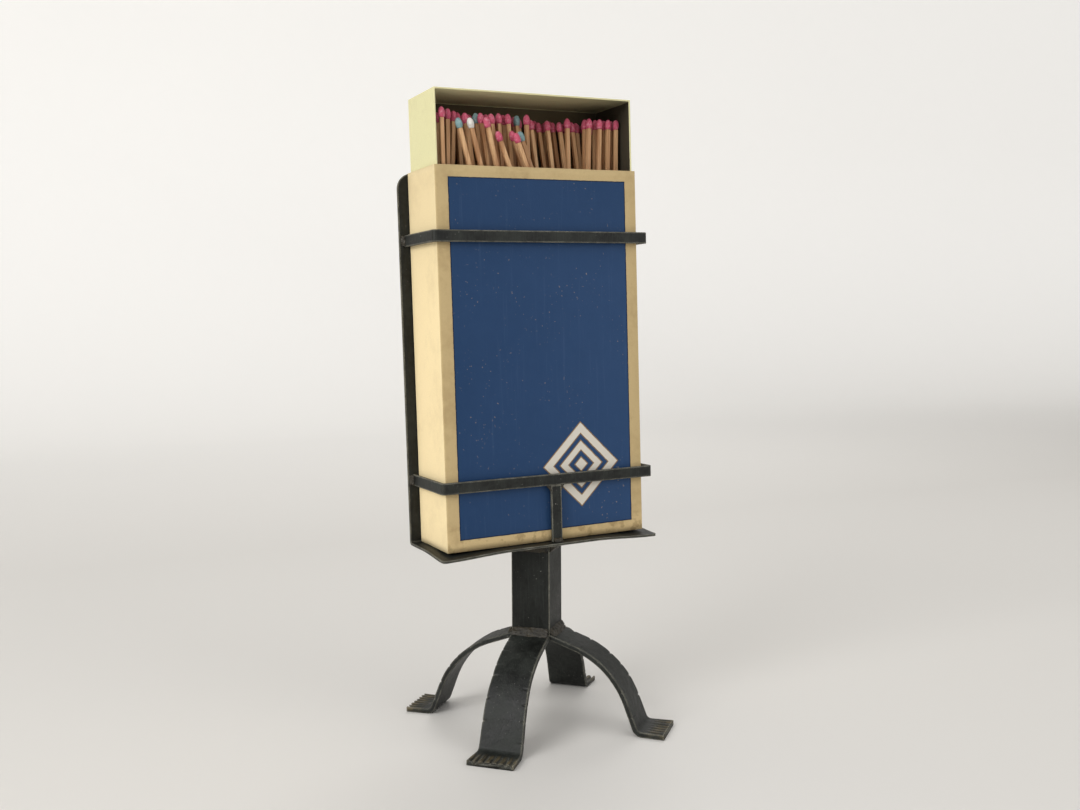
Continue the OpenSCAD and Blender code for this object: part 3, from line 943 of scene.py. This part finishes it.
class HOLDER_OT_stage(bpy.types.Operator):
    """Set up the floor, the backdrop, the soft lights and the camera"""
    bl_idname = "holder.stage"
    bl_label = "Stage"

    def execute(self, context):
        stage = context.scene.holder_stage
        self.floor(stage)
        self.lights(context)
        self.camera(context, stage)
        context.scene.view_settings.view_transform = "Standard"
        return {"FINISHED"}

    def floor(self, stage):
        """One sheet: a floor that curves up into a backdrop far behind."""
        back, radius, half, top = 2.2, 0.8, 6.0, 4.0
        path = [(-6.0, 0.0), (0.0, 0.0), (back - radius, 0.0)]
        for i in range(1, 13):
            a = math.radians(7.5 * i)
            path.append((back - radius + radius * math.sin(a), radius - radius * math.cos(a)))
        path.append((back, top))
        points = [(side * half, y, z) for y, z in path for side in (-1, 1)]
        floor = mesh_piece("floor", points, grid_faces(len(path), 2), stage_material(stage.floor))

    def lights(self, context):
        world = bpy.data.worlds.new("soft room")
        world.use_nodes = True
        background = world.node_tree.nodes["Background"]
        background.inputs["Color"].default_value = (1.0, 0.995, 0.985, 1.0)
        background.inputs["Strength"].default_value = 0.62
        context.scene.world = world
        for name, place, size, power in (
                ("key", (-1.5, -0.55, 0.95), 1.1, 17.0),
                ("fill", (0.9, -1.3, 0.9), 1.2, 4.0),
                ("rim", (0.7, 0.9, 1.2), 0.8, 4.0)):
            data = bpy.data.lights.new(name, "AREA")
            data.shape = "DISK"
            data.size = size
            data.energy = power
            lamp = bpy.data.objects.new(name, data)
            lamp.location = place
            aim = Vector((0.0, 0.0, 0.16)) - Vector(place)
            lamp.rotation_euler = aim.to_track_quat("-Z", "Y").to_euler()
            context.scene.collection.objects.link(lamp)

    def camera(self, context, stage):
        data = bpy.data.cameras.new("camera")
        data.sensor_fit = "HORIZONTAL"
        data.sensor_width = 36.0
        data.lens = stage.camera_lens
        data.clip_start = 0.01
        camera = bpy.data.objects.new("camera", data)
        turn = (Matrix.Rotation(-stage.camera_turn, 4, "Z")
                @ Matrix.Rotation(math.pi / 2 - stage.camera_drop, 4, "X")
                @ Matrix.Rotation(stage.camera_roll, 4, "Z"))
        camera.matrix_world = Matrix.Translation(Vector(stage.camera_place)) @ turn
        context.scene.collection.objects.link(camera)
        context.scene.camera = camera


OPERATORS = (
    HOLDER_OT_stage,
    HOLDER_OT_legs,
    HOLDER_OT_bars,
    HOLDER_OT_welds,
    HOLDER_OT_sheet,
    HOLDER_OT_sleeve,
    HOLDER_OT_tray,
    HOLDER_OT_matches,
)


class HOLDER_PT_panel(bpy.types.Panel):
    """Lists the pieces of the holder"""
    bl_label = "Matchbox holder"
    bl_idname = "HOLDER_PT_panel"
    bl_space_type = "VIEW_3D"
    bl_region_type = "UI"
    bl_category = "Holder"

    def draw(self, context):
        for operator in OPERATORS:
            self.layout.operator(operator.bl_idname)


CLASSES = (*SETTINGS.values(), *OPERATORS, HOLDER_PT_panel)


def register():
    for cls in CLASSES:
        bpy.utils.register_class(cls)
    for name, group in SETTINGS.items():
        setattr(bpy.types.Scene, name, bpy.props.PointerProperty(type=group))


def unregister():
    for name in SETTINGS:
        delattr(bpy.types.Scene, name)
    for cls in reversed(CLASSES):
        bpy.utils.unregister_class(cls)


def main():
    register()
    for operator in OPERATORS:
        group, action = operator.bl_idname.split(".")
        getattr(getattr(bpy.ops, group), action)()
    bpy.context.view_layer.update()


if __name__ == "__main__":
    main()
